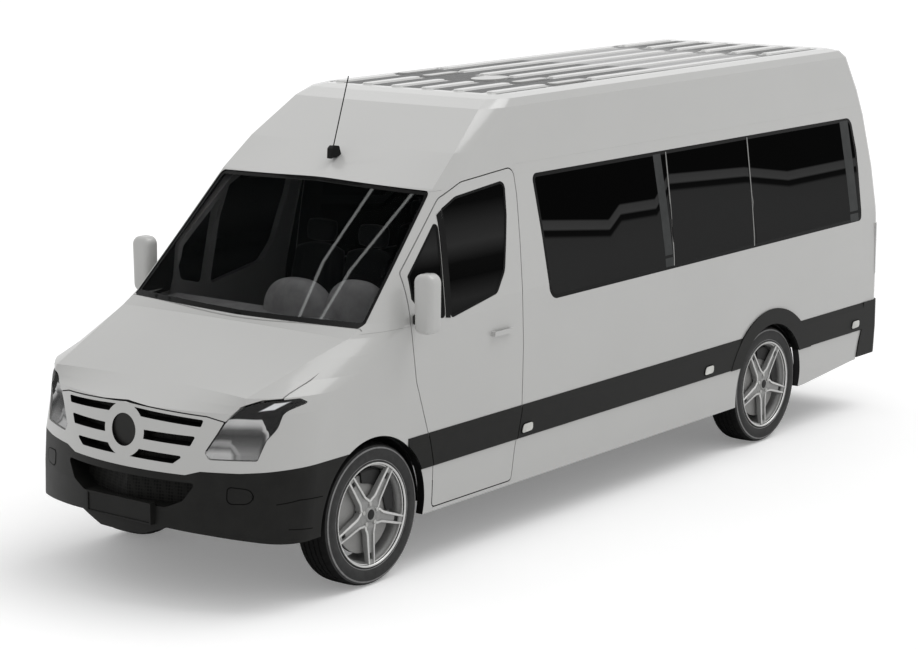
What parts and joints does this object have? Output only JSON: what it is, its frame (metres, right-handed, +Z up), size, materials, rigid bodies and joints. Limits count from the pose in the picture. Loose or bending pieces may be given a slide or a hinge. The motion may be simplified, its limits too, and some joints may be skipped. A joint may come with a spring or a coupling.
{
  "type": "minibus",
  "caption": "Long high-roof passenger minibus with steering front wheels, turning road wheels, hinged cab doors, hood and rear doors, fixed sliding side door and a hollow furnished cabin.",
  "frame": {"origin": "on the ground under the middle of the length and width", "axes": "+Z up, the front faces -Y, the driver's (left) side is +X"},
  "size_m": [2.37, 6.986, 2.7722],
  "materials": {
    "alloy": "painted silver",
    "bare_metal": "dull",
    "black_trim": "grained",
    "body_paint": "light grey",
    "chassis_black": "matt black",
    "clear_glass": "clear",
    "floor_covering": "matt",
    "grey_trim": "grained",
    "lamp_lens": "clear",
    "marker_lens": "clear",
    "privacy_glass": "tinted",
    "red_lens": "clear red",
    "seat_cloth": "woven",
    "tyre_rubber": "matt"
  },
  "bodies": {
    "body": {"aerial": "black_trim", "bumper_front": "body_paint", "bumper_rear": "body_paint", "cab_frame": "body_paint", "cabin_seats": "seat_cloth", "chassis": "chassis_black", "dashboard": "black_trim", "engine": "bare_metal", "exhaust": "bare_metal", "fender_left": "body_paint", "fender_right": "body_paint", "floor": "floor_covering", "front_axle": "chassis_black", "front_seats": "seat_cloth", "fuel_tank": "chassis_black", "gearbox": "bare_metal", "grille": "body_paint", "grille_backing": "black_trim", "grille_disc": "black_trim", "headlamps": "lamp_lens", "intake_backing": "black_trim", "leaf_springs": "chassis_black", "propshaft": "bare_metal", "rear_axle": "chassis_black", "roof": "body_paint", "seat_pedestals": "chassis_black", "side_glass": "privacy_glass", "side_left": "body_paint", "side_markers": "marker_lens", "side_mouldings": "grey_trim", "side_right": "body_paint", "sliding_door": "body_paint", "tail_lamps": "red_lens", "wheel_liners": "black_trim", "windshield": "clear_glass"},
    "wheel_front_left": {"tyre_front_left": "tyre_rubber", "rim_front_left": "alloy"},
    "wheel_front_right": {"tyre_front_right": "tyre_rubber", "rim_front_right": "alloy"},
    "wheel_rear_left": {"tyre_rear_left": "tyre_rubber", "rim_rear_left": "alloy"},
    "wheel_rear_right": {"tyre_rear_right": "tyre_rubber", "rim_rear_right": "alloy"},
    "knuckle_left": {"knuckle_left": "bare_metal"},
    "front_door_left": {"door_left": "body_paint", "door_glass_left": "clear_glass", "mirror_left": "body_paint", "door_moulding_left": "grey_trim"},
    "rear_door_left": {"rear_door_left": "body_paint", "rear_glass_left": "privacy_glass"},
    "knuckle_right": {"knuckle_right": "bare_metal"},
    "front_door_right": {"door_right": "body_paint", "door_glass_right": "clear_glass", "mirror_right": "body_paint", "door_moulding_right": "grey_trim"},
    "rear_door_right": {"rear_door_right": "body_paint", "rear_glass_right": "privacy_glass"},
    "hood": {"hood": "body_paint"},
    "steering_wheel": {"steering_wheel": "black_trim"}
  },
  "joints": [
    {"name": "steer_left", "type": "hinge", "parent": "body", "child": "knuckle_left", "pos_m": [0.8, -2.448, 0.413], "axis": [0, 0, 1], "range_deg": [-35, 35]},
    {"name": "spin_front_left", "type": "hinge", "parent": "knuckle_left", "child": "wheel_front_left", "pos_m": [0.855, -2.448, 0.413], "axis": [1, 0, 0], "continuous": true},
    {"name": "spin_rear_left", "type": "hinge", "parent": "body", "child": "wheel_rear_left", "pos_m": [0.855, 1.877, 0.413], "axis": [1, 0, 0], "continuous": true},
    {"name": "door_left", "type": "hinge", "parent": "body", "child": "front_door_left", "pos_m": [1, -2.158, 1.2], "axis": [0, 0, -1], "range_deg": [0, 70]},
    {"name": "rear_door_left", "type": "hinge", "parent": "body", "child": "rear_door_left", "pos_m": [0.887, 3.482, 1.3], "axis": [0, 0, -1], "range_deg": [0, 180]},
    {"name": "steer_right", "type": "hinge", "parent": "body", "child": "knuckle_right", "pos_m": [-0.8, -2.448, 0.413], "axis": [0, 0, 1], "range_deg": [-35, 35]},
    {"name": "spin_front_right", "type": "hinge", "parent": "knuckle_right", "child": "wheel_front_right", "pos_m": [-0.855, -2.448, 0.413], "axis": [1, 0, 0], "continuous": true},
    {"name": "spin_rear_right", "type": "hinge", "parent": "body", "child": "wheel_rear_right", "pos_m": [-0.855, 1.877, 0.413], "axis": [1, 0, 0], "continuous": true},
    {"name": "door_right", "type": "hinge", "parent": "body", "child": "front_door_right", "pos_m": [-1, -2.158, 1.2], "axis": [0, 0, 1], "range_deg": [0, 70]},
    {"name": "rear_door_right", "type": "hinge", "parent": "body", "child": "rear_door_right", "pos_m": [-0.887, 3.482, 1.3], "axis": [0, 0, 1], "range_deg": [0, 180]},
    {"name": "hood", "type": "hinge", "parent": "body", "child": "hood", "pos_m": [0, -2.446, 1.478], "axis": [-1, 0, 0], "range_deg": [0, 60]},
    {"name": "steering_wheel", "type": "hinge", "parent": "body", "child": "steering_wheel", "pos_m": [0.43, -1.798, 1.465], "axis": [0, 0.766, 0.6428], "range_deg": [-490, 490]}
  ],
  "couplings": [
    {"joint": "steer_right", "follows": "steer_left", "ratio": 1},
    {"joint": "steering_wheel", "follows": "steer_left", "ratio": 14}
  ]
}
